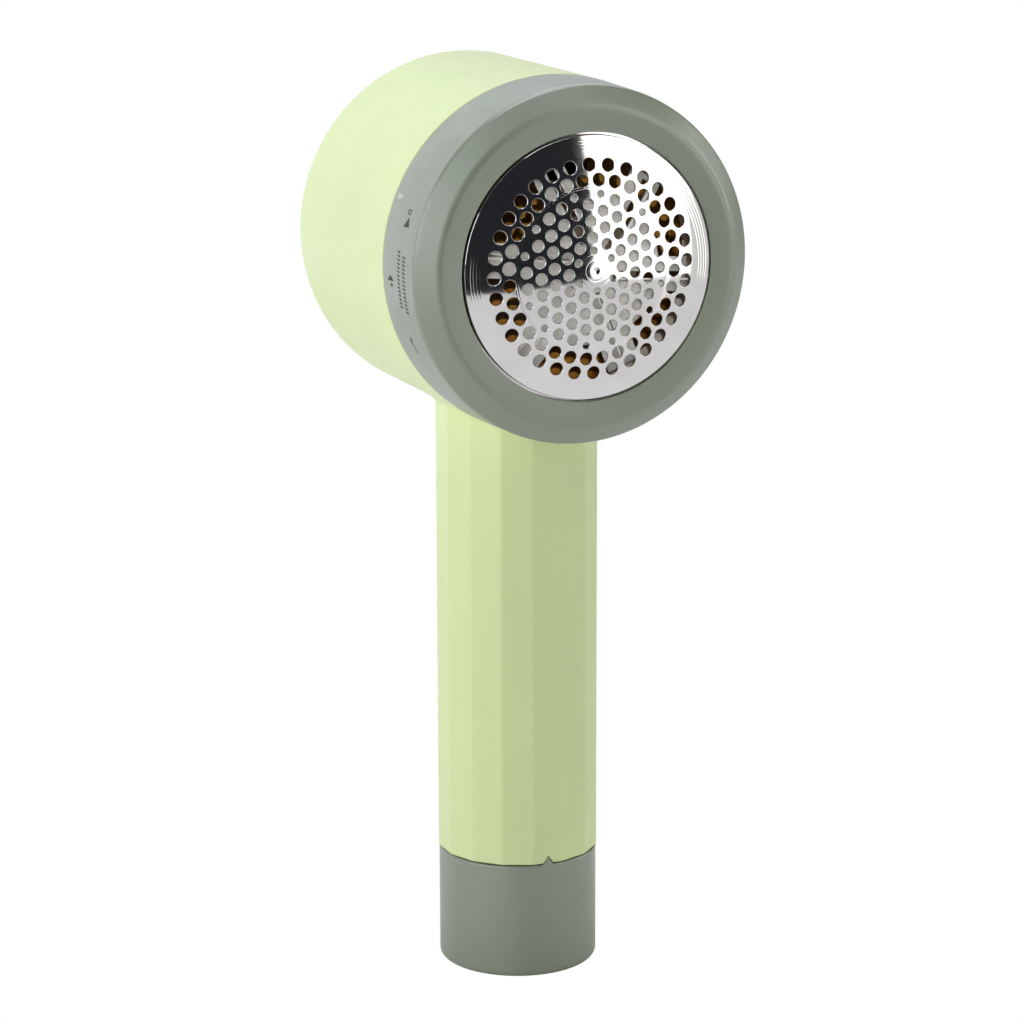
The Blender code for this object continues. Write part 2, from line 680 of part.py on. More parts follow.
def cell(green_wrap, steel, nickel):
    profile = [(0, CELL_BOTTOM + CELL_LENGTH), (3.0, CELL_BOTTOM + CELL_LENGTH),
               (3.0, CELL_BOTTOM + CELL_LENGTH - 1), (8.4, CELL_BOTTOM + CELL_LENGTH - 1),
               (CELL_RADIUS, CELL_BOTTOM + CELL_LENGTH - 1.7), (CELL_RADIUS, CELL_BOTTOM + 0.7),
               (8.4, CELL_BOTTOM), (0, CELL_BOTTOM)]
    place("battery_cell", moved(turned(profile, 32), 0, CELL_Y), green_wrap)
    top = CELL_BOTTOM + CELL_LENGTH + 0.3
    place("battery_tab_top", block((-3, CELL_Y - 3, top), (3, 5.8, top + 0.4)), nickel)
    place("battery_tab_bottom", block((-3, CELL_Y - 3, 46.5), (3, 5.8, 46.9)), nickel)


def control_board(board, dark, lens, steel, white):
    """Board over the cradle with the switch and the lamp that face the back of the grip."""
    back = BOARD_Y + BOARD_THICKNESS
    plate = place("control_board", block((-10.2, BOARD_Y, 40.5), (10.2, back, 117.2)), board)
    cut(plate, gathered([moved(along_y(rod(SCREW_HOLE, 4, 10, 12)), 0, 0, z) for z in (43.0, 115.4)]))
    for number, z in ((1, 43.0), (2, 115.4)):
        pan = turned([(0, 1.0), (0.9, 1.0), (0.9, 7.7), (1.9, 7.7), (1.7, 8.6), (0, 8.6)][::-1], 16)
        place(f"board_screw_{number}", moved(along_y(pan), 0, 0.2, z), steel)
    case = block((-3, back + GAP, BUTTON_Z - 3), (3, back + 3.8, BUTTON_Z + 3))
    switch = place("micro_switch", case, dark)
    cut(switch, moved(along_y(rod(2.0, back + 1.6, back + 5, 16)), 0, 0, BUTTON_Z))
    place("switch_plunger", moved(along_y(rod(1.7, back + 2.6, back + 5.0, 16)), 0, 0, BUTTON_Z), white)
    place("status_led", block((-1, back + GAP, LED_Z - 0.8), (1, back + 1.5, LED_Z + 0.8)), white)
    place("status_lens", moved(along_y(rod(1.2, back + 1.8, 17.5, 16)), 0, 0, LED_Z), lens)
    place("driver_chip", block((-3.2, back + GAP, 66), (3.2, back + 1.9, 73)), dark)
    can = turned([(0, 8), (2.5, 8), (2.5, 0), (0, 0)], 16)
    place("motor_capacitor", moved(can, 5.5, back + 3.0, 54), dark)


def power_button(sage):
    """Round push button in a bezel that follows the curve of the grip."""
    bezel = place("button_bezel", moved(along_y(tube(7.5, 5.7, 13.4, 20, 32)), 0, 0, BUTTON_Z), sage)
    keep(bezel, rod(17.95, BUTTON_Z - 10, BUTTON_Z + 10, 64))
    cap = [(0, 20), (5.4, 20), (5.4, 14.6), (4.2, 14.6), (4.2, 15.6), (1.6, 15.6), (1.6, 12.9), (0, 12.9)]
    button = place("power_button", moved(along_y(turned(cap, 32)), 0, 0, BUTTON_Z), sage)
    keep(button, rod(18.4, BUTTON_Z - 10, BUTTON_Z + 10, 64))


# ---------------------------------------------------------------- wiring

def smooth_route(points, spacing):
    """Points on a smooth curve through the given ones."""
    ends = [points[0]] + points + [points[-1]]
    route = []
    for before, start, end, after in zip(ends, ends[1:], ends[2:], ends[3:]):
        steps = max(1, round((end - start).length / spacing))
        for k in range(steps):
            t = k / steps
            bend = 2 * start + (end - before) * t
            bend += (2 * before - 5 * start + 4 * end - after) * t ** 2
            bend += (3 * start - before - 3 * end + after) * t ** 3
            route.append(bend / 2)
    return route + [points[-1]]


def lead(name, points, radius, material):
    curve = bpy.data.curves.new(name, "CURVE")
    curve.dimensions = "3D"
    curve.bevel_depth = radius * MM
    curve.bevel_resolution = 2
    curve.use_fill_caps = True
    route = smooth_route([Vector(p) for p in points], 5 * radius)
    spline = curve.splines.new("POLY")
    spline.points.add(len(route) - 1)
    for spot, position in zip(spline.points, route):
        spot.co = (*(position * MM), 1)
    curve.materials.append(material)
    made = bpy.data.objects.new(name, curve)
    bpy.context.collection.objects.link(made)


def leads(red, black):
    """Two leads to the motor and two from the charging socket."""
    for side, name, material in ((1, "red", red), (-1, "black", black)):
        lead(f"motor_lead_{name}", [
            (side * 6.5, 8.6, 108), (side * 6.5, 8.8, 114), (side * 6.2, 8.8, 122), (side * 6.8, 10.5, 132),
            (side * 7.0, 14.6, 141), (side * 6.6, 16.2, 150), (side * 6.0, 15.6, 158.6)], 0.6, material)
        lead(f"charge_lead_{name}", [
            (side * 2.6, 3.9, 29), (side * 2.8, 5.0, 33), (side * 4.0, 8.4, 38), (side * 5.2, 8.8, 44),
            (side * 5.4, 8.6, 50)], 0.6, material)


def build():
    clear_scene()
    head = head_axis()
    green = finish("body_green", (201, 219, 163), 0.42)
    sage = finish("sage", (137, 148, 128), 0.45)
    polished = finish("foil_steel", (214, 213, 210), 0.12, 1.0)
    blade = finish("blade_steel", (150, 147, 140), 0.3, 1.0)
    plated = finish("plated_steel", (170, 170, 168), 0.35, 1.0)
    dark = finish("dark_plastic", (52, 54, 52), 0.55)
    amber = finish("amber_plastic", (112, 84, 30), 0.5)
    copper = finish("copper", (168, 104, 66), 0.4, 1.0)
    magnet = finish("magnet", (58, 56, 55), 0.6)
    brass = finish("brass", (190, 160, 96), 0.35, 1.0)
    board = finish("board_green", (30, 92, 58), 0.5)
    wrap = finish("cell_wrap", (58, 112, 150), 0.4)
    rubber = finish("seal_rubber", (36, 36, 36), 0.75)
    white = finish("white_plastic", (226, 226, 222), 0.45)
    red = finish("lead_red", (176, 34, 30), 0.5)
    black = finish("lead_black", (28, 28, 28), 0.5)

    body_shell(head, green)
    collar(head, sage)
    foil(head, polished)
    foil_retainer(head, plated)
    blade_disc(head, blade)
    blade_hub(head, dark)
    drive_dog(head, plated)
    blade_spring(head, plated)
    motor_mount(head, dark)
    motor(head, plated, dark, copper, magnet, brass)
    mount_screws(head, plated)
    blade_chamber(head, amber)
    lint_duct(head, dark)
    lint_bin(head, green)
    o_ring("bin_seal", 28.87, 0.52, -23.8, HEAD_SEGMENTS, rubber, head)
    bottom_cap(sage)
    end_plug(dark)
    end_screws(plated)
    o_ring("cap_seal", 14.45, 0.8, 20.0, 32, rubber)
    charging_socket(plated, dark, board)
    chassis(dark)
    cell(wrap, plated, brass)
    control_board(board, dark, white, plated, white)
    power_button(sage)
    leads(red, black)


build()
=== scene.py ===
"""Looks of the fabric shaver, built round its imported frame.

Shapes are made in millimetres, in the object's frame or in the head's own frame, whose x
runs right, y up and z forward from the axis of the grip. MM turns them into metres.
"""

import json
import math

import bmesh
import bpy
from mathutils import Matrix, Vector
from mathutils.kdtree import KDTree


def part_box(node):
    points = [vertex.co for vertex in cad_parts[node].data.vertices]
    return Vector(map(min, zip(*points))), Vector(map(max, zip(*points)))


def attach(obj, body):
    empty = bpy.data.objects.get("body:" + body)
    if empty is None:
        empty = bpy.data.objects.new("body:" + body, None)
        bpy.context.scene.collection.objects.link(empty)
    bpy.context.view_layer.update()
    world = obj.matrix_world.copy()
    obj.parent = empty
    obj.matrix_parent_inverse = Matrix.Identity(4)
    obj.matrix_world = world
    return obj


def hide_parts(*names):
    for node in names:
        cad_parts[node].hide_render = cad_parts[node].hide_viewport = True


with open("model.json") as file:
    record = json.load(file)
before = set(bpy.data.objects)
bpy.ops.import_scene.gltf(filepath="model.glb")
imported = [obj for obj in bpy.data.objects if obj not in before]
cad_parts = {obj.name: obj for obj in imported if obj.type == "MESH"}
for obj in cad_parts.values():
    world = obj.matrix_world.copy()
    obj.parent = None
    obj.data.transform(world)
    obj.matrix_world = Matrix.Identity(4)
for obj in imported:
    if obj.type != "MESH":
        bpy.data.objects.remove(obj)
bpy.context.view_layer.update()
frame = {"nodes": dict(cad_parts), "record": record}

MM = 0.001


def span(node):
    """Lowest and highest corner of a CAD node, in millimetres."""
    low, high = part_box(node)
    return Vector(low) / MM, Vector(high) / MM


# Sizes read from the frame.
collar_low, collar_high = span("collar")
shell_low, shell_high = span("body_shell")
cap_low, cap_high = span("bottom_cap")
foil_low, foil_high = span("foil")
HEAD_HEIGHT = (collar_low.z + collar_high.z) / 2
HEAD_RADIUS = (collar_high.x - collar_low.x) / 2
COLLAR_CREST = -collar_low.y
HEAD_BACK = -shell_high.y
DRUM_FRONT = -shell_low.y
GRIP_BOTTOM = shell_low.z
CAP_RADIUS = (cap_high.x - cap_low.x) / 2
FOIL_CROWN = -foil_low.y
FOIL_FLANGE = (foil_high.x - foil_low.x) / 2

# Sizes that the boxes don't give.
WALL = 2.0
GAP = 0.3
BACK_FILLET = 5.2
BACK_WALL = 2.2
SLEEVE_WALL = 1.5
SLEEVE_FRONT = -21.0
COLLAR_SEAM = DRUM_FRONT + GAP
COLLAR_BORE = 35.2
LUG_RADIUS = 33.6
OPENING_RADIUS = 27.72
FOIL_RADIUS = 27.2
DOME_EDGE = 27.1
FOIL_SEAT = 36.1
FOIL_THICKNESS = 0.3
FOIL_SPHERE = 100.0
LATTICE_PITCH = 3.39
LATTICE_TURN = math.radians(35.1)
RING_HOLES = 32
RING_TURN = math.radians(1.4)
OUTER_RING = (21.4, 1.35)
SECOND_RING = (18.35, 1.32)
MEDIUM_HOLE = 1.15
SMALL_HOLE = 0.73
HOLE_ROLL = 0.2
CENTRE_RING = 4.2
ARMS = 6
ARM_TURN = math.radians(54.7)
ARM_SIDES = (-4.4, 2.8)
ARM_END = 22.6
BLADE_PLATE = 16.0
BLADE_THICKNESS = 0.5
BLADE_HEIGHT = 2.2
SLOT_SIDES = (-2.45, -0.25)
SLOT_ENDS = (5.2, 21.6)
FACETS = 16
GRIP_RADIUS = 17.66
GRIP_BORE = 15.2
FACET_EDGE = 1.6
NECK_FILLET = 2.2
NECK_SHOULDER = 118.0
NECK_BORE = 12.0
CAP_TOP = GRIP_BOTTOM - GAP
CAP_BORE = 15.3
CAP_FLOOR = 2.4
CAP_FILLET = 1.43
BIN_RADIUS = 29.2
BIN_WALL = 1.4
BIN_FRONT = -19.1
SEAL_RADIUS = 28.3
SEAL_FRONT = -23.0
SEAL_BACK = -24.6
WELL_RADIUS = 15.0
WELL_DEPTH = 6.5
BUTTON_Z = 104.0
BUTTON_RADIUS = 5.4
BUTTON_CROWN = 18.4
BEZEL_RADIUS = 7.5
BEZEL_CROWN = 17.95
LED_Z = 88.0
LED_HOLE = 1.5

HEAD = Matrix.Translation((0, 0, HEAD_HEIGHT * MM)) @ Matrix.Rotation(math.pi / 2, 4, "X")
BACKWARD = Matrix.Rotation(-math.pi / 2, 4, "X")


# ---------------------------------------------------------------- outlines

def polar(radius, turn):
    """The point at a radius and an angle."""
    return radius * math.cos(turn), radius * math.sin(turn)


def rounded(points, steps=6):
    """A closed outline whose corners (x, y, fillet) are replaced by arcs."""
    outline = []
    for index, corner in enumerate(points):
        x, y, *fillet = corner
        here = Vector((x, y))
        if not fillet or not fillet[0]:
            outline.append(here)
            continue
        before = (Vector(points[index - 1][:2]) - here).normalized()
        after = (Vector(points[(index + 1) % len(points)][:2]) - here).normalized()
        half = before.angle(after) / 2
        centre = here + (before + after).normalized() * (fillet[0] / math.sin(half))
        start = here + before * (fillet[0] / math.tan(half)) - centre
        end = here + after * (fillet[0] / math.tan(half)) - centre
        sweep = start.angle_signed(end)
        for step in range(steps + 1):
            outline.append(centre + Matrix.Rotation(-sweep * step / steps, 2) @ start)
    return outline


# ---------------------------------------------------------------- meshes

def turned(outline, segments=128):
    """Revolve a closed (radius, height) outline about Z; radius 0 ends in a flat disc."""
    bm = bmesh.new()
    rings = []
    for radius, height in outline:
        if radius < 1e-6:
            rings.append([])
            continue
        ring = []
        for step in range(segments):
            x, y = polar(radius * MM, 2 * math.pi * step / segments)
            ring.append(bm.verts.new((x, y, height * MM)))
        rings.append(ring)
    for index, ring in enumerate(rings):
        following = rings[(index + 1) % len(rings)]
        if not ring or not following:
            if ring or following:
                bm.faces.new(ring or following)
            continue
        for step in range(segments):
            after = (step + 1) % segments
            bm.faces.new([ring[step], following[step], following[after], ring[after]])
    bmesh.ops.recalc_face_normals(bm, faces=bm.faces)
    return bm


def rod(radius, low, high, segments=48):
    """A round bar along Z."""
    return turned([(0, high), (radius, high), (radius, low), (0, low)], segments)


def prism(outline, low, high):
    """An outline in X and Y raised from a low to a high Z."""
    bm = bmesh.new()
    base = [bm.verts.new((x * MM, y * MM, low * MM)) for x, y in outline]
    pushed = bmesh.ops.extrude_face_region(bm, geom=[bm.faces.new(base)])
    raised = [item for item in pushed["geom"] if isinstance(item, bmesh.types.BMVert)]
    bmesh.ops.translate(bm, verts=raised, vec=(0, 0, (high - low) * MM))
    bmesh.ops.recalc_face_normals(bm, faces=bm.faces)
    return bm


def block(low, high):
    """A box between two corners."""
    outline = [(low[0], low[1]), (high[0], low[1]), (high[0], high[1]), (low[0], high[1])]
    return prism(outline, low[2], high[2])


def moved(bm, x=0.0, y=0.0, z=0.0):
    """The mesh shifted by millimetres."""
    bmesh.ops.translate(bm, verts=bm.verts, vec=Vector((x, y, z)) * MM)
    return bm


def laid(bm, matrix):
    """The mesh placed by a matrix."""
    bmesh.ops.transform(bm, matrix=matrix, verts=bm.verts)
    return bm


def gathered(shapes):
    """One mesh that holds several shapes."""
    whole = bmesh.new()
    for shape in shapes:
        scratch = bpy.data.meshes.new("scratch")
        shape.to_mesh(scratch)
        shape.free()
        whole.from_mesh(scratch)
        bpy.data.meshes.remove(scratch)
    return whole


def new_object(name, bm):
    """Turn a mesh into an object of the scene."""
    mesh = bpy.data.meshes.new(name)
    bm.to_mesh(mesh)
    bm.free()
    made = bpy.data.objects.new(name, mesh)
    bpy.context.scene.collection.objects.link(made)
    return made


def combined(bm, tools):
    """Boolean a mesh with (operation, mesh) tools, one after the other."""
    body = new_object("solid", bm)
    for operation, tool_mesh in tools:
        tool = new_object("tool", tool_mesh)
        step = body.modifiers.new("boolean", "BOOLEAN")
        step.operation = operation
        step.solver = "EXACT"
        step.object = tool
        evaluated = body.evaluated_get(bpy.context.evaluated_depsgraph_get())
        result = bpy.data.meshes.new_from_object(evaluated)
        body.modifiers.clear()
        body.data = result
        bpy.data.objects.remove(tool)
    whole = bmesh.new()
    whole.from_mesh(body.data)
    bpy.data.objects.remove(body)
    return whole


def piece(name, bm, material, body, nodes, smooth_angle=30):
    """A finished piece that rides on a body and stands for CAD nodes."""
    made = new_object(name, bm)
    made.data.shade_smooth()
    made.data.set_sharp_from_angle(angle=math.radians(smooth_angle))
    made.data.materials.clear()
    made.data.materials.append(material)
    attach(made, body)
    if nodes:
        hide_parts(*nodes)
    return made


# ---------------------------------------------------------------- materials

def linear(channel):
    value = channel / 255
    return value / 12.92 if value <= 0.04045 else ((value + 0.055) / 1.055) ** 2.4


def colour(red, green, blue, scale=1.0):
    """0-255 sRGB to a shader colour."""
    return (linear(red) * scale, linear(green) * scale, linear(blue) * scale, 1.0)


class Finish:
    """A Principled material with helpers for the noise that varies it."""

    def __init__(self, name, metallic=0.0, ior=1.5, coat=0.0, coat_roughness=0.1):
        self.material = bpy.data.materials.new(name)
        self.material.use_nodes = True
        self.tree = self.material.node_tree
        self.shader = self.tree.nodes["Principled BSDF"]
        self.shader.inputs["Metallic"].default_value = metallic
        self.shader.inputs["IOR"].default_value = ior
        self.shader.inputs["Coat Weight"].default_value = coat
        self.shader.inputs["Coat Roughness"].default_value = coat_roughness
        self.place = self.tree.nodes.new("ShaderNodeTexCoord").outputs["Object"]
        self.height = None

    def link(self, output, target):
        """Join an output to a socket."""
        self.tree.links.new(output, target)

    def noise(self, size, detail=3.0, stretch=(1, 1, 1)):
        """Noise with features about size millimetres across."""
        mapping = self.tree.nodes.new("ShaderNodeMapping")
        mapping.inputs["Scale"].default_value = stretch
        self.link(self.place, mapping.inputs["Vector"])
        texture = self.tree.nodes.new("ShaderNodeTexNoise")
        texture.inputs["Scale"].default_value = 1 / (size * MM)
        texture.inputs["Detail"].default_value = detail
        self.link(mapping.outputs["Vector"], texture.inputs["Vector"])
        return texture.outputs["Fac"]

    def ranged(self, value, low, high, start=0.3, end=0.7):
        """Map a 0-1 value to low-high."""
        node = self.tree.nodes.new("ShaderNodeMapRange")
        node.inputs["From Min"].default_value = start
        node.inputs["From Max"].default_value = end
        node.inputs["To Min"].default_value = low
        node.inputs["To Max"].default_value = high
        self.link(value, node.inputs["Value"])
        return node.outputs["Result"]

    def ramp(self, value, stops):
        """Colour a 0-1 value by (position, colour) stops."""
        node = self.tree.nodes.new("ShaderNodeValToRGB")
        ramp = node.color_ramp
        ramp.elements[0].position, ramp.elements[0].color = stops[0]
        ramp.elements[1].position, ramp.elements[1].color = stops[-1]
        for position, shade in stops[1:-1]:
            ramp.elements.new(position).color = shade
        self.link(value, node.inputs["Fac"])
        return node.outputs["Color"]

    def base(self, output):
        self.link(output, self.shader.inputs["Base Color"])

    def roughness(self, output):
        self.link(output, self.shader.inputs["Roughness"])

    def bump(self, output, depth, strength=1.0):
        """Add a bump of depth millimetres on top of the ones before."""
        node = self.tree.nodes.new("ShaderNodeBump")
        node.inputs["Strength"].default_value = strength
        node.inputs["Distance"].default_value = depth * MM
        self.link(output, node.inputs["Height"])
        if self.height:
            self.link(self.height, node.inputs["Normal"])
        self.height = node.outputs["Normal"]
        self.link(self.height, self.shader.inputs["Normal"])


def tinted(shade, factor):
    """A lighter or darker version of a shader colour."""
    return (*(min(1.0, channel * factor) for channel in shade[:3]), 1.0)


def moulded_plastic(name, shade, rough=0.4, grain=0.22, grain_depth=0.004, spread=0.03, ior=1.46):
    """Satin injection-moulded plastic: eroded-tool grain, slow flow marks and handling marks."""
    finish = Finish(name, ior=ior)
    flow = finish.noise(26, 2, (1, 1, 0.45))
    finish.base(finish.ramp(flow, [(0.3, tinted(shade, 1 - spread)), (0.7, tinted(shade, 1 + spread))]))
    handled = finish.noise(5.5, 5)
    finish.roughness(finish.ranged(handled, rough - 0.04, rough + 0.05))
    finish.bump(finish.noise(grain, 2), grain_depth)
    finish.bump(finish.noise(3.2, 2), 0.006, 0.6)
    return finish.material


def polished_steel(name):
    """Mirror-polished stainless sheet with faint rolling and cleaning marks."""
    finish = Finish(name, metallic=1.0)
    cloud = finish.noise(7, 4)
    finish.base(finish.ramp(cloud, [(0.3, colour(206, 204, 200)), (0.7, colour(214, 213, 209))]))
    finish.roughness(finish.ranged(finish.noise(2.4, 6), 0.045, 0.085))
    finish.bump(finish.noise(0.35, 3, (1, 1, 0.08)), 0.00012)
    return finish.material


def ground_steel(name, shade, rough=0.28, stretch=(0.12, 1, 1), metallic=1.0):
    """Ground or rolled steel with grinding lines along X."""
    finish = Finish(name, metallic=metallic)
    lines = finish.noise(0.25, 4, stretch)
    finish.base(finish.ramp(lines, [(0.3, tinted(shade, 0.86)), (0.7, tinted(shade, 1.1))]))
    finish.roughness(finish.ranged(finish.noise(1.4, 5), rough - 0.07, rough + 0.1))
    finish.bump(lines, 0.0015)
    return finish.material


def rubber(name):
    """Matt black rubber with pale dust."""
    finish = Finish(name, ior=1.5)
    dust = finish.noise(1.8, 5)
    finish.base(finish.ramp(dust, [(0.45, colour(30, 30, 30)), (0.8, colour(52, 51, 49))]))
    finish.roughness(finish.ranged(dust, 0.68, 0.88))
    finish.bump(finish.noise(0.3, 3), 0.006)
    return finish.material


def circuit_board(name):
    """Green solder mask with fine copper tracks under it."""
    finish = Finish(name, ior=1.52, coat=0.4)
    voronoi = finish.tree.nodes.new("ShaderNodeTexVoronoi")
    voronoi.distance = "CHEBYCHEV"
    voronoi.feature = "DISTANCE_TO_EDGE"
    voronoi.inputs["Scale"].default_value = 1 / (2.2 * MM)
    finish.link(finish.place, voronoi.inputs["Vector"])
    tracks = voronoi.outputs["Distance"]
    finish.base(finish.ramp(tracks, [(0.03, colour(46, 128, 82)), (0.06, colour(20, 78, 48))]))
    finish.roughness(finish.ranged(finish.noise(1.2, 3), 0.3, 0.45))
    finish.bump(finish.ranged(tracks, 1.0, 0.0, 0.03, 0.06), 0.02)
    return finish.material


def wound_copper(name):
    """Turns of enamelled wire side by side, with painted shade that darkens the copper in the grooves
    between the turns.
    """
    finish = Finish(name, metallic=1.0)
    wave = finish.tree.nodes.new("ShaderNodeTexWave")
    wave.inputs["Scale"].default_value = 1 / (0.5 * MM)
    wave.inputs["Distortion"].default_value = 0.6
    finish.link(finish.place, wave.inputs["Vector"])
    wires_and_gap_shade = wave.outputs["Fac"]
    # painted shade: the colour runs from dark copper in the grooves between the turns to bright copper on
    # their crowns
    finish.base(finish.ramp(wires_and_gap_shade, [(0.0, colour(98, 44, 22)), (1.0, colour(196, 116, 70))]))
    finish.roughness(finish.ranged(wires_and_gap_shade, 0.45, 0.28, 0, 1))
    finish.bump(wires_and_gap_shade, 0.08)
    return finish.material


def shrink_wrap(name, shade):
    """Glossy sleeve film with soft creases."""
    finish = Finish(name, ior=1.5, coat=0.5, coat_roughness=0.15)
    crease = finish.noise(9, 4, (1, 1, 0.3))
    finish.base(finish.ramp(crease, [(0.3, tinted(shade, 0.9)), (0.7, tinted(shade, 1.1))]))
    finish.roughness(finish.ranged(crease, 0.24, 0.4))
    finish.bump(crease, 0.05)
    return finish.material


# ---------------------------------------------------------------- casing

def facet_radius(turn):
    """Distance from the grip's axis to its sixteen-sided side, with eased edges."""
    sector = 2 * math.pi / FACETS
    apothem = GRIP_RADIUS * math.cos(sector / 2)
    off = abs((turn + math.pi / 2 + sector / 2) % sector - sector / 2)
    edge_centre = (apothem - FACET_EDGE) / math.cos(sector / 2)
    flat_end = math.atan2(edge_centre * math.sin(sector / 2), apothem)
    if off <= flat_end:
        return apothem / math.cos(off)
    lean = sector / 2 - off
    reach = edge_centre * math.sin(lean)
    return edge_centre * math.cos(lean) + math.sqrt(FACET_EDGE ** 2 - reach ** 2)


def grip_turns():
    """Angles round the grip: few on a flat, more round each edge."""
    sector = 2 * math.pi / FACETS
    places = (-0.5, -0.46, -0.42, -0.38, -0.34, -0.2, 0, 0.2, 0.34, 0.38, 0.42, 0.46)
    return [-math.pi / 2 + sector * (facet + place) for facet in range(FACETS) for place in places]


def drum_underside(radius, turn):
    """Height of the drum's underside over a point round the grip."""
    across = radius * math.cos(turn)
    return HEAD_HEIGHT - math.sqrt(HEAD_RADIUS ** 2 - across ** 2)


def neck_path(turn):
    """Side of the grip from its foot to the drum at one angle, as (radius, height) points
    that end in a fillet tangent to both."""
    side = facet_radius(turn)
    radius = side + NECK_FILLET

    def clearance(height):
        nearest = 1e9
        for k in range(60):
            reach = side - 0.5 + (NECK_FILLET * 2 + 1) * k / 59
            gap = math.hypot(reach - radius, drum_underside(reach, turn) - height)
            nearest = min(nearest, gap)
        return nearest

    low = drum_underside(side, turn) - 3 * NECK_FILLET
    high = drum_underside(side, turn)
    for _ in range(30):
        middle = (low + high) / 2
        if clearance(middle) > NECK_FILLET:
            low = middle
        else:
            high = middle
    height = low
    slope = (drum_underside(radius + 0.01, turn) - drum_underside(radius - 0.01, turn)) / 0.02
    finish = math.pi / 2 + math.atan(slope)
    path = [(side, GRIP_BOTTOM + 0.25), (side, 45), (side, 70), (side, 95), (side, height - 4)]
    steps = 8
    for k in range(steps + 1):
        angle = math.pi - (math.pi - finish) * k / steps
        path.append((radius + NECK_FILLET * math.cos(angle), height + NECK_FILLET * math.sin(angle)))
    reach, top = path[-1]
    path.append((reach + 0.6, drum_underside(reach + 0.6, turn) + 0.03))
    path.append((reach + 0.3, drum_underside(reach, turn) + 1.2))
    return path


def grip_tube():
    """The faceted grip as a closed tube that flares into the drum."""
    bm = bmesh.new()
    columns = []
    for turn in grip_turns():
        side = facet_radius(turn)
        points = neck_path(turn)
        top = points[-1][1]
        points = [(GRIP_BORE, GRIP_BOTTOM), (side - 0.25, GRIP_BOTTOM)] + points + [(GRIP_BORE, top)]
        columns.append([bm.verts.new((*polar(r * MM, turn), z * MM)) for r, z in points])
    for index, column in enumerate(columns):
        following = columns[(index + 1) % len(columns)]
        for k in range(len(column)):
            after = (k + 1) % len(column)
            bm.faces.new([column[k], following[k], following[after], column[after]])
    bmesh.ops.recalc_face_normals(bm, faces=bm.faces)
    return bm


def pip(clearance, bottom, inner, outer, half=1.2, height=1.6):
    """The small triangle that keys the cap to the front of the grip."""
    foot = CAP_TOP
    tip = CAP_TOP + 0.15 + height + clearance
    side = half + clearance
    bm = prism([(-side, bottom), (side, bottom), (side, foot), (0, tip), (-side, foot)], inner, outer)
    return laid(bm, Matrix.Rotation(math.pi / 2, 4, "X"))


def body_shell(green):
    """The drum and the grip in one moulding, open at the front, the back and the foot."""
    front, back = DRUM_FRONT, HEAD_BACK
    inner = HEAD_RADIUS - WALL
    sleeve = BIN_RADIUS + GAP
    outline = rounded([
        (HEAD_RADIUS, front, 0.3), (HEAD_RADIUS, back, BACK_FILLET), (sleeve, back, 0.5),
        (sleeve, SLEEVE_FRONT), (sleeve + SLEEVE_WALL, SLEEVE_FRONT),
        (sleeve + SLEEVE_WALL, back + BACK_WALL), (inner, back + BACK_WALL, 3.0), (inner, front)], 14)
    drum = laid(turned(outline, 192), HEAD)
    inside = [(0, front + 1), (inner - 0.001, front + 1), (inner - 0.001, -15), (0, -15)]
    clear = HEAD_RADIUS + GAP
    collar_room = [(0, front + 15), (clear, front + 15), (clear, front), (0, front)]
    button_hole = rod(BEZEL_RADIUS + GAP, 10, 20, 96)
    led_hole = rod(LED_HOLE, 10, 20, 32)
    tools = [
        ("UNION", grip_tube()),
        ("DIFFERENCE", laid(turned(inside, 192), HEAD)),
        ("DIFFERENCE", laid(turned(collar_room, 192), HEAD)),
        ("DIFFERENCE", rod(NECK_BORE, NECK_SHOULDER - 6, HEAD_HEIGHT - 32)),
        ("DIFFERENCE", moved(laid(button_hole, BACKWARD), 0, 0, BUTTON_Z)),
        ("DIFFERENCE", moved(laid(led_hole, BACKWARD), 0, 0, LED_Z)),
        ("DIFFERENCE", pip(GAP, GRIP_BOTTOM - 1, 13, 20)),
    ]
    return piece("casing", combined(drum, tools), green, "body", ["body_shell"])


def collar(sage):
    """The lock ring: a drafted band, a broad ridge and a slope down to the foil."""
    seat = FOIL_SEAT + GAP
    pocket = FOIL_FLANGE + GAP
    outline = rounded([
        (HEAD_RADIUS, COLLAR_SEAM, 0.3), (37.08, 35.08, 1.5), (32.85, COLLAR_CREST + 0.12, 2.6),
        (OPENING_RADIUS, 38.05, 0.12), (OPENING_RADIUS, seat), (pocket, seat), (pocket, 33.0),
        (COLLAR_BORE, 32.6), (COLLAR_BORE, 22.0), (LUG_RADIUS, 21.0), (LUG_RADIUS, 14.0),
        (COLLAR_BORE, 14.0), (COLLAR_BORE, COLLAR_SEAM)], 10)
    return piece("lock_collar", laid(turned(outline, 192), HEAD), sage, "lock_collar", ["collar"])


def band_radius(forward):
    """Radius of the collar's drafted band at a distance forward of the grip's axis."""
    return HEAD_RADIUS - (forward - COLLAR_SEAM) * 0.4 / 15


def band_mark(outline, height=0.05):
    """A thin raised mark on the collar's band. The outline is in (degrees round the head,
    millimetres forward), and the degrees run from +X over the top."""
    bm = bmesh.new()
    levels = []
    for lift in (-0.1, height):
        ring = []
        for degrees, forward in outline:
            x, y = polar((band_radius(forward) + lift) * MM, math.radians(degrees))
            ring.append(bm.verts.new((x, y, forward * MM)))
        levels.append(ring)
    low, high = levels
    for k in range(len(low)):
        after = (k + 1) % len(low)
        bm.faces.new([low[k], low[after], high[after], high[k]])
    bm.faces.new(low)
    bm.faces.new(high)
    bmesh.ops.recalc_face_normals(bm, faces=bm.faces)
    return laid(bm, HEAD)


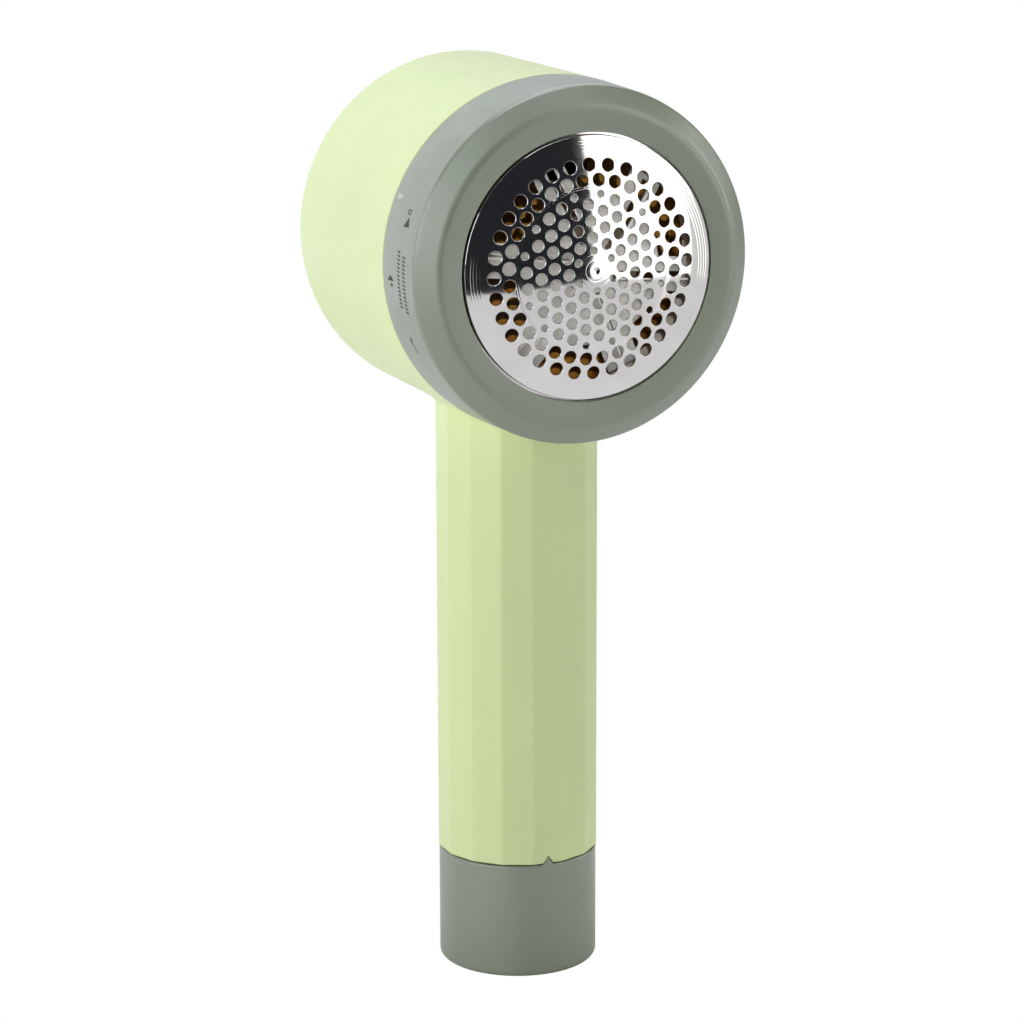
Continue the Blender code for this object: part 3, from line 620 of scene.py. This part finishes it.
def band_strokes(lines, width=0.16):
    """Strokes between pairs of (degrees, forward) ends, drawn as thin raised bars."""
    per_degree = math.radians(HEAD_RADIUS)
    shapes = []
    for start, end in lines:
        run = Vector(((end[0] - start[0]) * per_degree, end[1] - start[1]))
        side = Vector((-run.y, run.x)).normalized() * width / 2
        corners = []
        for point, sign in ((start, 1), (end, 1), (end, -1), (start, -1)):
            corners.append((point[0] + side.x * sign / per_degree, point[1] + side.y * sign))
        shapes.append(band_mark(corners))
    return gathered(shapes)


def collar_marks(ink, pale):
    """Plain lock and turn marks printed on the collar's left side."""
    pointer = band_mark([(156.1, 20.5), (156.8, 23.9), (158.4, 20.7)])
    piece("lock_pointer", pointer, pale, "lock_collar", None)

    triangles = gathered([band_mark([(162.2, 29.2), (165.6, 27.5), (165.3, 30.1)]),
                          band_mark([(181.8, 23.1), (183.6, 21.6), (183.4, 24.7)])])
    piece("turn_triangles", triangles, ink, "lock_collar", None)

    lock = [((160.0, 28.0), (160.0, 29.2)), ((160.0, 28.0), (161.3, 28.1)),
            ((160.0, 29.2), (161.3, 29.3)), ((161.3, 28.1), (161.3, 29.3))]
    cross = [((184.2, 23.4), (185.4, 23.5)), ((184.8, 22.9), (184.8, 24.1))]
    arrow = [((203.2, 26.9), (207.0, 27.8)), ((201.4, 27.0), (203.4, 26.6)),
             ((201.4, 27.0), (203.0, 27.5))]
    symbols = band_strokes(lock + cross + arrow, 0.22)
    piece("turn_symbols", symbols, ink, "lock_collar", None)

    ticks = []
    for first, forward, length, count in ((173.4, 27.4, 1.1, 15), (174.7, 30.0, 1.3, 15)):
        for k in range(count):
            degrees = first + k * 1.25
            ticks.append(((degrees, forward - length / 2), (degrees + 0.25, forward + length / 2)))
    piece("scale_ticks", band_strokes(ticks, 0.3), ink, "lock_collar", None)


# ---------------------------------------------------------------- foil and cutter

def foil_holes():
    """Centre and radius of every hole of the foil."""
    holes = [(*polar(CENTRE_RING, LATTICE_TURN + math.pi * k / 3), SMALL_HOLE) for k in range(6)]
    for shell in range(2, 6):
        for side in range(6):
            corner = Vector(polar(shell * LATTICE_PITCH, LATTICE_TURN + math.pi * side / 3))
            step = Vector(polar(LATTICE_PITCH, LATTICE_TURN + math.pi * (side + 2) / 3))
            for k in range(1 if shell == 5 else 0, shell):
                small = shell == 5 and k in (1, 4)
                x, y = corner + step * k
                holes.append((x, y, SMALL_HOLE if small else MEDIUM_HOLE))
    for radius, hole, half_steps in ((*OUTER_RING, 0), (*SECOND_RING, 1)):
        for k in range(RING_HOLES):
            turn = RING_TURN + (k + half_steps / 2) * 2 * math.pi / RING_HOLES
            holes.append((*polar(radius, turn), hole))
    return holes


# centre radius, width and depth of each groove turned in the foil
FOIL_GROOVES = ((2.1, 0.14, 0.0036), (3.3, 0.16, 0.0036), (16.65, 0.12, 0.025), (17.1, 0.12, 0.025),
                (24.3, 0.1, 0.011), (24.95, 0.1, 0.012), (25.6, 0.1, 0.013), (26.15, 0.1, 0.016))


def groove(radius, centre, width, depth):
    """Depth that one groove takes from the foil at a radius."""
    return -depth * math.exp(-((radius - centre) / width) ** 2)


def foil_height(radius):
    """Outer surface of the foil: a shallow dome with fine turned grooves and a centre dimple."""
    height = FOIL_CROWN - radius ** 2 / (2 * FOIL_SPHERE) + groove(radius, 0, 0.55, 0.045)
    for centre, width, depth in FOIL_GROOVES:
        height += groove(radius, centre, width, depth)
    return height


def punch(x, y, radius):
    """Cutter for one hole, square to the dome, that leaves a rolled edge round it."""
    spread = math.hypot(x, y)
    flare = [(radius + HOLE_ROLL * (1 - math.cos(turn)), HOLE_ROLL * (math.sin(turn) - 1) + 0.01)
             for turn in (0, 0.5, 1.0, math.pi / 2)]
    outline = [(0, -1.4), (radius, -1.4)] + flare + [(radius + HOLE_ROLL, 0.9), (0, 0.9)]
    bm = turned(outline, 40 if radius > 1 else 28)
    tilt = Matrix.Rotation(math.atan(spread / FOIL_SPHERE), 4, Vector((-y, x, 0)).normalized())
    return moved(laid(bm, tilt), x, y, foil_height(spread))


def foil(steel):
    """Perforated guard. Its shading normals come from the dome's formula, so that the
    reflections stay smooth between the holes."""
    rings = [0.25, 0.5, 0.75, 1.0, 1.5, 2.7, 4.5, 6, 8, 10, 12, 14, 15.5, 18.5, 20.5, 22.5, 26.6, DOME_EDGE]
    for centre, width, _ in FOIL_GROOVES:
        rings += [centre + width * share for share in (-1.8, -0.7, 0, 0.7, 1.8)]
    outer = [(r, foil_height(r)) for r in sorted(rings)]
    rim_height = foil_height(DOME_EDGE)
    edge = [(FOIL_RADIUS - 0.03, rim_height - 0.08), (FOIL_RADIUS, rim_height - 0.2)]
    inner_radius = FOIL_RADIUS - FOIL_THICKNESS
    under = FOIL_SEAT - FOIL_THICKNESS
    rim = [(FOIL_RADIUS, FOIL_SEAT), (FOIL_FLANGE, FOIL_SEAT), (FOIL_FLANGE, under),
           (inner_radius, under), (inner_radius, rim_height - 0.7), (26.2, foil_height(26.2) - 0.32)]
    under_crown = FOIL_CROWN - FOIL_THICKNESS
    inside = [(r, under_crown - r ** 2 / (2 * FOIL_SPHERE)) for r in (24, 20, 16, 12, 8, 4, 1)]
    centre = [(0, outer[0][1])]
    end = [(0, inside[-1][1])]
    sheet = turned(centre + outer + edge + rim + inside + end, 144)
    punches = [punch(*hole) for hole in foil_holes()]
    bm = combined(sheet, [("DIFFERENCE", gathered(punches))])
    bmesh.ops.transform(bm, matrix=HEAD, verts=bm.verts)
    guard = piece("foil_guard", bm, steel, "lock_collar", ["foil"])
    smooth_dome(guard)
    return guard


def dome_normal(spot):
    """Exact normal of the foil's outer surface at a place in the head's frame, in millimetres."""
    step = 0.02
    radius = math.hypot(spot.x, spot.y)
    if radius < 0.05:
        return Vector((0, 0, 1))
    slope = (foil_height(radius + step) - foil_height(radius - step)) / (2 * step)
    return Vector((-slope * spot.x / radius, -slope * spot.y / radius, 1)).normalized()


def smooth_dome(guard):
    """Give the dome and the rolled edges of its holes the normals of their exact shapes."""
    steepest, dome_match = 0.12, 0.985
    mesh = guard.data
    inverse = HEAD.inverted()
    turn = HEAD.to_3x3()
    holes = foil_holes()
    nearest = KDTree(len(holes))
    for k, (x, y, _) in enumerate(holes):
        nearest.insert((x, y, 0), k)
    nearest.balance()
    normals = [Vector(corner.vector) for corner in mesh.corner_normals]
    for face in mesh.polygons:
        facing = inverse.to_3x3() @ face.normal
        middle = inverse @ face.center / MM
        if facing.z < steepest or math.hypot(middle.x, middle.y) > DOME_EDGE:
            continue
        on_dome = facing.dot(dome_normal(middle)) > dome_match
        for corner in face.loop_indices:
            spot = inverse @ mesh.vertices[mesh.loops[corner].vertex_index].co / MM
            normal = dome_normal(spot)
            centre, k, distance = nearest.find((spot.x, spot.y, 0))
            across = 1 - (distance - holes[k][2]) / HOLE_ROLL
            if across > 0 and not on_dome:
                across = min(across, 1)
                to_axis = (Vector(centre) - Vector((spot.x, spot.y, 0))).normalized()
                normal = normal * math.sqrt(1 - across ** 2) + to_axis * across
            normals[corner] = turn @ normal.normalized()
    mesh.normals_split_custom_set(normals)


def blade_strip():
    """One upright cutting strip along +X, leaning over the slot that it was bent from."""
    foot = 0.1 - BLADE_THICKNESS
    section = [(-2.6, foot), (-2.2, foot), (-1.35, BLADE_HEIGHT), (-1.7, BLADE_HEIGHT)]
    bm = prism([(-height, side) for side, height in section], SLOT_ENDS[0] + 0.2, ARM_END - 0.2)
    return laid(bm, Matrix.Rotation(math.pi / 2, 4, "Y"))


def on_arms(make):
    """Six copies of a shape made along +X, one on each arm."""
    copies = []
    for arm in range(ARMS):
        turn = Matrix.Rotation(ARM_TURN + 2 * math.pi * arm / ARMS, 4, "Z")
        copies.append(laid(make(), turn))
    return gathered(copies)


def plate_height(radius):
    """Height of the cutter's plate against its crown, following the foil's dome."""
    return -radius ** 2 / (2 * FOIL_SPHERE)


def cutter(steel):
    """Six-armed cutting wheel, domed to run just behind the foil."""
    crown = FOIL_CROWN - FOIL_THICKNESS - GAP - BLADE_HEIGHT
    edge = rounded([(0, -BLADE_THICKNESS), (BLADE_PLATE, -BLADE_THICKNESS, 0.1),
                    (BLADE_PLATE, 0, 0.3), (0, 0)], 3)
    disc = turned(edge, 144)
    arm = ((10.0, ARM_SIDES[0], -BLADE_THICKNESS), (ARM_END, ARM_SIDES[1], 0))
    slot = ((SLOT_ENDS[0], SLOT_SIDES[0], -1), (SLOT_ENDS[1], SLOT_SIDES[1], 1))
    bm = combined(disc, [("UNION", on_arms(lambda: block(*arm))),
                         ("DIFFERENCE", on_arms(lambda: block(*slot))),
                         ("UNION", on_arms(blade_strip))])
    for k in range(ARMS):
        across = Vector((*polar(1, ARM_TURN + 2 * math.pi * k / ARMS), 0))
        for step in range(8):
            every = bm.verts[:] + bm.edges[:] + bm.faces[:]
            cut = across * (6.5 + 2 * step) * MM
            bmesh.ops.bisect_plane(bm, geom=every, plane_co=cut, plane_no=across)
    bmesh.ops.triangulate(bm, faces=bm.faces)
    for vert in bm.verts:
        vert.co.z += (crown + plate_height(math.hypot(vert.co.x, vert.co.y) / MM)) * MM
    return piece("cutter_wheel", laid(bm, HEAD), steel, "cutter", ["blade_disc"])


# ---------------------------------------------------------------- cap, bin and button

def bottom_cap(sage):
    """Round cup under the grip, keyed to it at the front."""
    outline = rounded([
        (CAP_BORE, CAP_TOP, 0.2), (CAP_RADIUS, CAP_TOP, 0.45), (CAP_RADIUS, 0, CAP_FILLET), (0, 0),
        (0, CAP_FLOOR), (CAP_BORE, CAP_FLOOR, 0.8)], 10)
    key = pip(0, CAP_TOP - 3, CAP_BORE + 0.5, CAP_RADIUS - 0.1)
    bm = combined(turned(outline, 160), [("UNION", key)])
    return piece("base_cap", bm, sage, "base_cap", ["bottom_cap"])


def lint_bin(green):
    """Cup that pulls out of the back, with a finger well and a bar across it."""
    back, well = HEAD_BACK, WELL_RADIUS
    floor = back + WELL_DEPTH
    inner = BIN_RADIUS - BIN_WALL
    outline = rounded([
        (0, floor + 2), (well + 2, floor + 2, 0.8), (well + 2, back + BACK_WALL, 0.5),
        (inner, back + BACK_WALL, 0.6), (inner, BIN_FRONT, 0.3), (BIN_RADIUS, BIN_FRONT, 0.3),
        (BIN_RADIUS, SEAL_FRONT), (SEAL_RADIUS, SEAL_FRONT), (SEAL_RADIUS, SEAL_BACK),
        (BIN_RADIUS, SEAL_BACK), (BIN_RADIUS, back, 0.6), (well, back, 1.0), (well, floor, 1.4),
        (0, floor)], 8)
    bar = rounded([(-2.2, back + 0.5, 0.8), (2.2, back + 0.5, 0.8), (2.2, floor + 0.6),
                   (-2.2, floor + 0.6)], 6)
    along_x = Matrix(((0, 0, 1, 0), (1, 0, 0, 0), (0, 1, 0, 0), (0, 0, 0, 1)))
    grip = laid(prism([(y, z) for y, z in bar], -well - 0.6, well + 0.6), along_x)
    bm = combined(turned(outline, 192), [("UNION", grip)])
    return piece("bin_cup", laid(bm, HEAD), green, "bin", ["lint_bin"])


def power_button(sage):
    """Round button in its bezel, both crowned to follow the grip."""
    inner, uncut = BUTTON_RADIUS + GAP, 19.0
    ring = rounded([(BEZEL_RADIUS, 13.4), (BEZEL_RADIUS, uncut), (inner, uncut), (inner, 13.4)])
    bezel = moved(laid(turned(ring, 96), BACKWARD), 0, 0, BUTTON_Z)
    dome = rod(BEZEL_CROWN, BUTTON_Z - 10, BUTTON_Z + 10, 256)
    bezel = combined(bezel, [("INTERSECT", dome)])
    surround = piece("button_surround", bezel, sage, "body", ["button_bezel"])
    stem = rounded([(0, uncut), (BUTTON_RADIUS, uncut), (BUTTON_RADIUS, 14.6), (4.2, 14.6),
                    (4.2, 15.6), (1.6, 15.6), (1.6, 12.9), (0, 12.9)])
    key = moved(laid(turned(stem, 96), BACKWARD), 0, 0, BUTTON_Z)
    crown = rod(BUTTON_CROWN, BUTTON_Z - 10, BUTTON_Z + 10, 256)
    key = combined(key, [("INTERSECT", crown)])
    button = piece("button_key", key, sage, "button", ["power_button"])
    for part, width in ((surround, 0.25), (button, 0.35)):
        edge = part.modifiers.new("edge", "BEVEL")
        edge.width = width * MM
        edge.segments = 3
        edge.limit_method = "ANGLE"
        edge.angle_limit = math.radians(50)


# ---------------------------------------------------------------- studio

CAMERA_AZIMUTH = -22.719
CAMERA_ELEVATION = 13.444
CAMERA_ROLL = math.radians(-0.171)
CAMERA_DISTANCE = 772.922
CAMERA_TARGET_HEIGHT = 100.527
CAMERA_TARGET_SIDE = -0.996
CAMERA_LENS = 125.44
SENSOR_WIDTH = 36
WORLD_GLOW = 0.02
CUTTER_LAMP_WATTS = 0.0044
COOL = (0.96, 0.98, 1.08)
BLUE_GREY = (0.88, 0.92, 1.12)
SOFTBOX_SIZE = 0.9
SOFTBOX_DISTANCE = 1.6
LIT_HEIGHT = 0.12


def direction(azimuth, elevation):
    """Unit vector at an azimuth and elevation in degrees: 0 is in front of the guard, and
    positive azimuths turn to +X."""
    turn, rise = math.radians(azimuth), math.radians(elevation)
    return Vector((math.sin(turn) * math.cos(rise), -math.cos(turn) * math.cos(rise), math.sin(rise)))


def aimed(made, place, back):
    """Put a light at a place, shining against the back vector."""
    made.location = place
    made.rotation_mode = "QUATERNION"
    made.rotation_quaternion = back.to_track_quat("Z", "Y")
    bpy.context.scene.collection.objects.link(made)


def add_camera():
    """The photograph's point of view."""
    back = direction(CAMERA_AZIMUTH, CAMERA_ELEVATION)
    right = Vector((0, 0, 1)).cross(back).normalized()
    up = back.cross(right)
    target = Vector((0, 0, CAMERA_TARGET_HEIGHT)) + right * CAMERA_TARGET_SIDE
    rolled_right = right * math.cos(CAMERA_ROLL) + up * math.sin(CAMERA_ROLL)
    rolled_up = up * math.cos(CAMERA_ROLL) - right * math.sin(CAMERA_ROLL)
    data = bpy.data.cameras.new("camera")
    data.lens = CAMERA_LENS
    data.sensor_width = SENSOR_WIDTH
    data.clip_start = 0.05
    data.clip_end = 20
    camera = bpy.data.objects.new("camera", data)
    bpy.context.scene.collection.objects.link(camera)
    axes = Matrix((rolled_right, rolled_up, back)).transposed().to_4x4()
    camera.matrix_world = Matrix.Translation((target + back * CAMERA_DISTANCE) * MM) @ axes
    bpy.context.scene.camera = camera


def glow(name, strength, shade):
    """A plain emitting material."""
    material = bpy.data.materials.new(name)
    material.use_nodes = True
    tree = material.node_tree
    tree.nodes.clear()
    emission = tree.nodes.new("ShaderNodeEmission")
    emission.inputs["Color"].default_value = (*shade, 1)
    emission.inputs["Strength"].default_value = strength
    output = tree.nodes.new("ShaderNodeOutputMaterial")
    tree.links.new(emission.outputs["Emission"], output.inputs["Surface"])
    return material


def plane(name, corners, material):
    """One flat face of the studio."""
    mesh = bpy.data.meshes.new(name)
    mesh.from_pydata(corners, [], [(0, 1, 2, 3)])
    mesh.materials.append(material)
    made = bpy.data.objects.new(name, mesh)
    bpy.context.scene.collection.objects.link(made)
    return made


def panel(name, start, end, strength, shade=(1, 1, 1), height=1.3):
    """An upright card that only reflections show, standing between two (azimuth, distance) spots."""
    (x0, y0, _), (x1, y1, _) = (direction(azimuth, 0) * distance for azimuth, distance in (start, end))
    corners = [(x0, y0, 0), (x1, y1, 0), (x1, y1, height), (x0, y0, height)]
    card = plane(name, corners, glow(name, strength, shade))
    card.visible_diffuse = False
    card.visible_shadow = False
    card.visible_camera = False


def softbox(name, azimuth, elevation, radiance, shade=(1, 1, 1), mirrored=True, lighting=True):
    """A square lamp that faces the object. One that isn't mirrored makes no reflection, and one
    that isn't lighting makes nothing else."""
    back = direction(azimuth, elevation)
    data = bpy.data.lights.new(name, "AREA")
    data.size = SOFTBOX_SIZE
    data.color = shade
    data.energy = radiance * math.pi * SOFTBOX_SIZE ** 2
    made = bpy.data.objects.new(name, data)
    made.visible_glossy = mirrored
    made.visible_diffuse = lighting
    aimed(made, Vector((0, 0, LIT_HEIGHT)) + back * SOFTBOX_DISTANCE, back)


def cutter_lamp():
    """A narrow beam from the camera's side that reaches the cutter through the guard's holes."""
    back = direction(CAMERA_AZIMUTH, CAMERA_ELEVATION)
    data = bpy.data.lights.new("cutter_lamp", "AREA")
    data.shape = "DISK"
    data.size = 0.046
    data.spread = math.radians(0.4)
    data.energy = CUTTER_LAMP_WATTS
    made = bpy.data.objects.new("cutter_lamp", data)
    made.visible_glossy = False
    made.visible_camera = False
    aimed(made, HEAD @ Vector((0, 0, FOIL_CROWN * MM)) + back * 0.35, back)


def add_floor():
    """The pale paper that the object stands on. The camera sees the white world instead."""
    paper = Finish("floor_paper")
    paper.shader.inputs["Base Color"].default_value = (0.93, 0.91, 0.89, 1)
    paper.shader.inputs["Roughness"].default_value = 0.9
    paper.shader.inputs["Specular IOR Level"].default_value = 0.0
    reach = 6.0
    corners = [(-reach, -reach, 0), (reach, -reach, 0), (reach, reach, 0), (-reach, reach, 0)]
    floor = plane("floor", corners, paper.material)
    floor.visible_camera = False


def add_world():
    """White where the camera looks, and a faint glow for everything else."""
    world = bpy.data.worlds.new("studio")
    bpy.context.scene.world = world
    world.use_nodes = True
    tree = world.node_tree
    background = tree.nodes["Background"]
    background.inputs["Color"].default_value = (1, 1, 1, 1)
    rays = tree.nodes.new("ShaderNodeLightPath")
    strength = tree.nodes.new("ShaderNodeMapRange")
    strength.inputs["To Min"].default_value = WORLD_GLOW
    strength.inputs["To Max"].default_value = 1.0
    tree.links.new(rays.outputs["Is Camera Ray"], strength.inputs["Value"])
    tree.links.new(strength.outputs["Result"], background.inputs["Strength"])


def add_studio():
    """Cards for the steel to mirror, and soft lamps all round."""
    add_world()
    add_floor()
    bpy.context.scene.view_settings.view_transform = "Standard"

    panel("left_card", (-66, 0.8), (-30, 0.6), 1.9, COOL)
    panel("dark_card", (-16, 0.66), (22, 0.82), 0.028, BLUE_GREY)
    panel("bright_card", (22, 0.82), (50, 0.8), 2.2)
    panel("bright_card_fade", (50, 0.8), (55, 0.78), 0.9)
    panel("bright_card_edge", (55, 0.78), (68, 0.75), 0.6)
    panel("left_rear_card", (-175, 0.5), (-138, 0.5), 1.5, COOL)
    panel("rear_card", (180, 1.7), (133, 1.7), 0.75, COOL, 1.5)

    softbox("top", 0, 90, 5.5, COOL)
    softbox("left", -75, 15, 3.8, COOL)
    softbox("left_rear", -105, 15, 1.9, COOL)
    softbox("left_far_rear", -135, 15, 1.05, COOL)
    softbox("rear", -165, 15, 0.6, COOL)
    softbox("right", 75, 15, 3.7)
    softbox("right_rear_high", 150, 50, 2.8, COOL)
    softbox("left_front", -45, 15, 2.0, mirrored=False)
    softbox("front_high", 30, 50, 0.9, mirrored=False)
    softbox("rear_sheen", -175, 35, 0.7, COOL, lighting=False)
    cutter_lamp()


# ---------------------------------------------------------------- carried-over parts

def finish_inner_parts(finishes):
    """Give every CAD node that still shows its finish. The lint duct is amber like the chamber."""
    slots = {entry["node"]: entry["material_slot"] for entry in frame["record"]["subparts"]}
    slots["lint_duct"] = "amber_plastic"
    for name, slot in slots.items():
        node = frame["nodes"][name]
        node.data.materials.clear()
        node.data.materials.append(finishes[slot])


def main():
    green = moulded_plastic("pale_green_plastic", colour(199, 213, 153), 0.38)
    sage = moulded_plastic("sage_plastic", colour(116, 126, 105), 0.36, ior=1.78)
    steel = polished_steel("foil_polish")
    blade = ground_steel("blade_ground", colour(182, 179, 172), 0.36, (0.12, 1, 1), 0.4)
    ink = moulded_plastic("printed_ink", colour(32, 34, 30), 0.6, 0.3, 0.001, 0.08)
    plated = ground_steel("plated_sheet", colour(220, 208, 196), 0.4, (1, 1, 0.2), 0.15)
    finishes = {
        "body_green": green,
        "sage": sage,
        "foil_steel": steel,
        "blade_steel": blade,
        "plated_steel": plated,
        "dark_plastic": moulded_plastic("dark_moulding", colour(84, 75, 62), 0.5, 0.3, 0.01, 0.08),
        "amber_plastic": moulded_plastic("amber_moulding", colour(126, 86, 27), 0.42, 0.3, 0.006, 0.06),
        "copper": wound_copper("winding"),
        "magnet": ground_steel("magnet_ferrite", colour(62, 59, 58), 0.55, (1, 1, 1)),
        "brass": ground_steel("brass_strip", colour(196, 166, 100), 0.3, (0.2, 1, 1)),
        "board_green": circuit_board("board_mask"),
        "cell_wrap": shrink_wrap("cell_sleeve", colour(58, 112, 150)),
        "seal_rubber": rubber("seal"),
        "white_plastic": moulded_plastic("white_moulding", colour(226, 226, 222), 0.3, 0.3, 0.003, 0.02),
        "lead_red": shrink_wrap("insulation_red", colour(176, 34, 30)),
        "lead_black": shrink_wrap("insulation_black", colour(34, 34, 34)),
    }
    finish_inner_parts(finishes)
    body_shell(green)
    collar(sage)
    collar_marks(ink, moulded_plastic("pale_ink", colour(170, 177, 160), 0.5, 0.3, 0.001, 0.04))
    foil(steel)
    cutter(blade)
    bottom_cap(sage)
    lint_bin(green)
    power_button(sage)
    add_camera()
    add_studio()


main()
